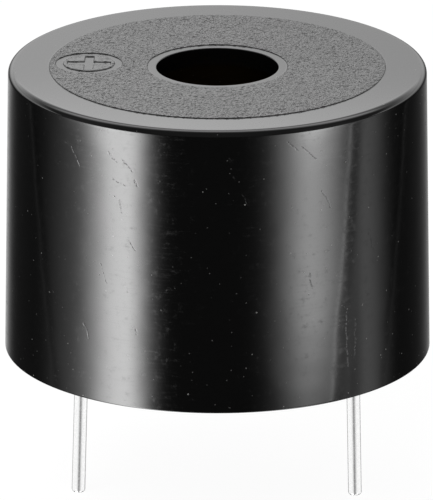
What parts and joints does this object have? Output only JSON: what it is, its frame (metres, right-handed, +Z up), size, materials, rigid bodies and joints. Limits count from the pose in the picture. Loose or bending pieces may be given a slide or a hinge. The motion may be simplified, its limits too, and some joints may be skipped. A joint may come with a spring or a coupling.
{
  "type": "piezo buzzer",
  "caption": "Round self-driven piezo buzzer for a circuit board, with a sound hole, a plus mark on its grained top and two straight leads below.",
  "frame": {"origin": "centre of the case's lower rim, in the plane that sits on the circuit board", "axes": "+Z up through the sound hole, +X towards the negative lead, so the plus mark and the positive lead are at -X; the leads point to -Z"},
  "size_m": [0.0236, 0.0236, 0.025],
  "materials": {
    "case_plastic": "moulded black plastic, smooth and glossy, with a fine grain on the raised ring of the top",
    "tinned_wire": "bright tin plate, drawn",
    "brass": "rolled, dull",
    "piezo_ceramic": "fired, matte",
    "fired_silver": "printed and fired, matte silver",
    "silicone": "cured bead, satin",
    "board_laminate": "glass-epoxy laminate, satin",
    "copper_foil": "etched foil",
    "ferrite": "pressed and sintered, matte",
    "enamelled_copper": "wound enamelled wire, glossy",
    "transistor_plastic": "moulded epoxy, matte",
    "resistor_lacquer": "lacquered, satin",
    "capacitor_lacquer": "dipped lacquer, glossy",
    "red_sleeve": "extruded wire insulation",
    "black_sleeve": "extruded wire insulation",
    "blue_sleeve": "extruded wire insulation",
    "solder": "solidified solder, satin",
    "cast_resin": "cast black epoxy resin, glossy"
  },
  "bodies": {
    "root": {"housing": "case_plastic", "positive_lead": "tinned_wire", "negative_lead": "tinned_wire", "diaphragm_plate": "brass", "piezo_ceramic": "piezo_ceramic", "main_electrode": "fired_silver", "feedback_electrode": "fired_silver", "diaphragm_adhesive": "silicone", "circuit_board": "board_laminate", "copper_tracks": "copper_foil", "choke_core": "ferrite", "choke_winding": "enamelled_copper", "choke_leads": "tinned_wire", "transistor_body": "transistor_plastic", "transistor_leads": "tinned_wire", "bias_resistor": "resistor_lacquer", "bias_resistor_leads": "tinned_wire", "feedback_resistor": "resistor_lacquer", "feedback_resistor_leads": "tinned_wire", "supply_capacitor": "capacitor_lacquer", "supply_capacitor_leads": "tinned_wire", "drive_wire": "red_sleeve", "plate_wire": "black_sleeve", "feedback_wire": "blue_sleeve", "diaphragm_solder": "solder", "board_solder": "solder", "lead_solder": "solder", "base_seal": "cast_resin"}
  },
  "joints": []
}
